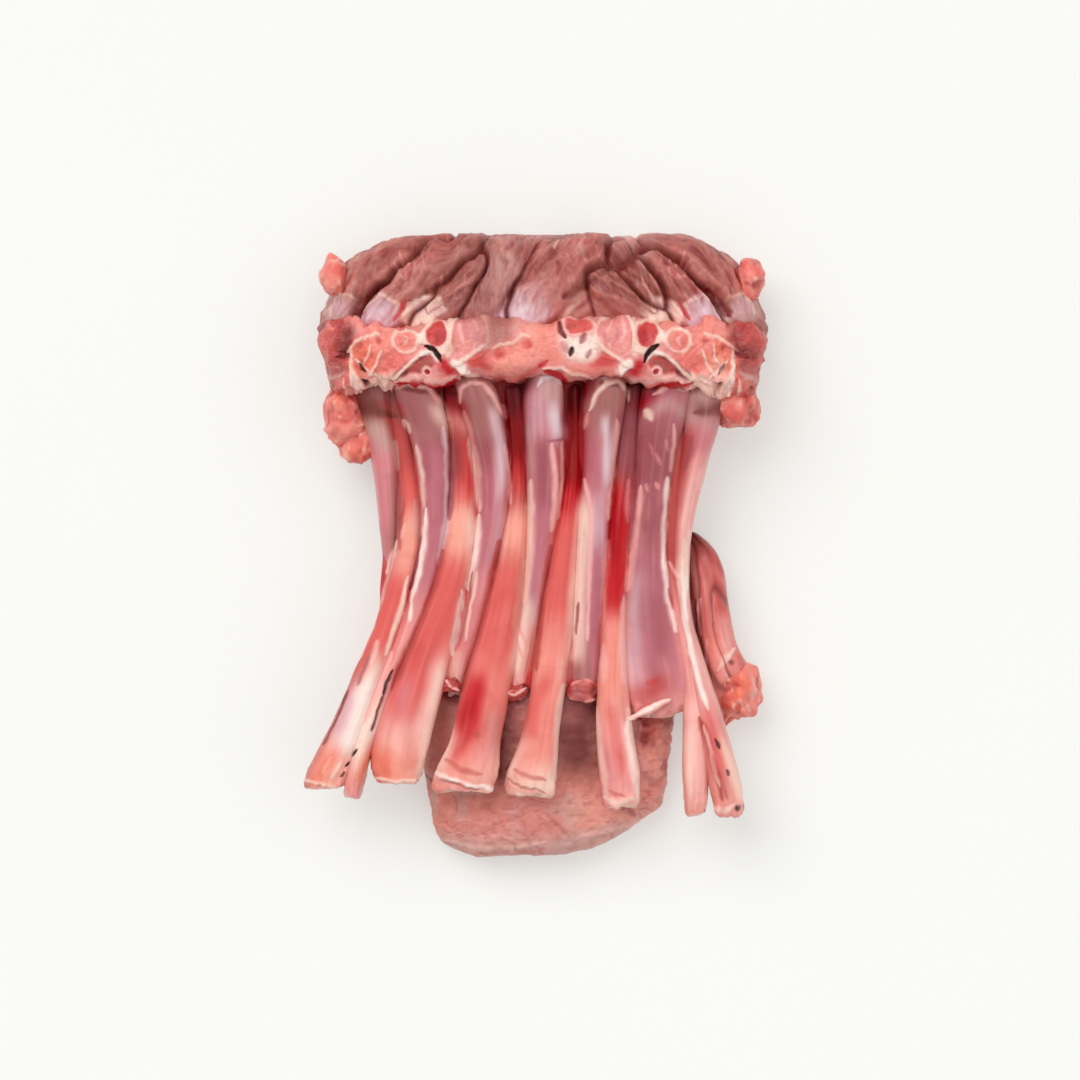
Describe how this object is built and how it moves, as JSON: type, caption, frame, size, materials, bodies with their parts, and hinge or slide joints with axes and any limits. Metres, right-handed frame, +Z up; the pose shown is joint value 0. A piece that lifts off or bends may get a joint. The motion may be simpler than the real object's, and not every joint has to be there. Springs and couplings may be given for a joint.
{
  "type": "raw rack of lamb",
  "caption": "Raw rack of lamb lying on its meat: loin lobes, sawn chine bone, fanned ribs with lilac membrane and scraped tips, and the cap of meat under them.",
  "frame": {"origin": "centre of the bounding box at the surface that the rack lies on", "axes": "+Z up from that surface, +Y from the rib tips to the loin, +X along the chine"},
  "size_m": [0.206, 0.283, 0.0577],
  "materials": {
    "lean_meat": "moist raw lean",
    "rib_bone": "moist pink bone and rib muscle",
    "membrane": "wet lilac membrane",
    "chine_bone": "moist sawn bone with fat webs",
    "fat": "greasy fat"
  },
  "bodies": {
    "root": {"rack_of_lamb": "lean_meat"}
  },
  "joints": []
}
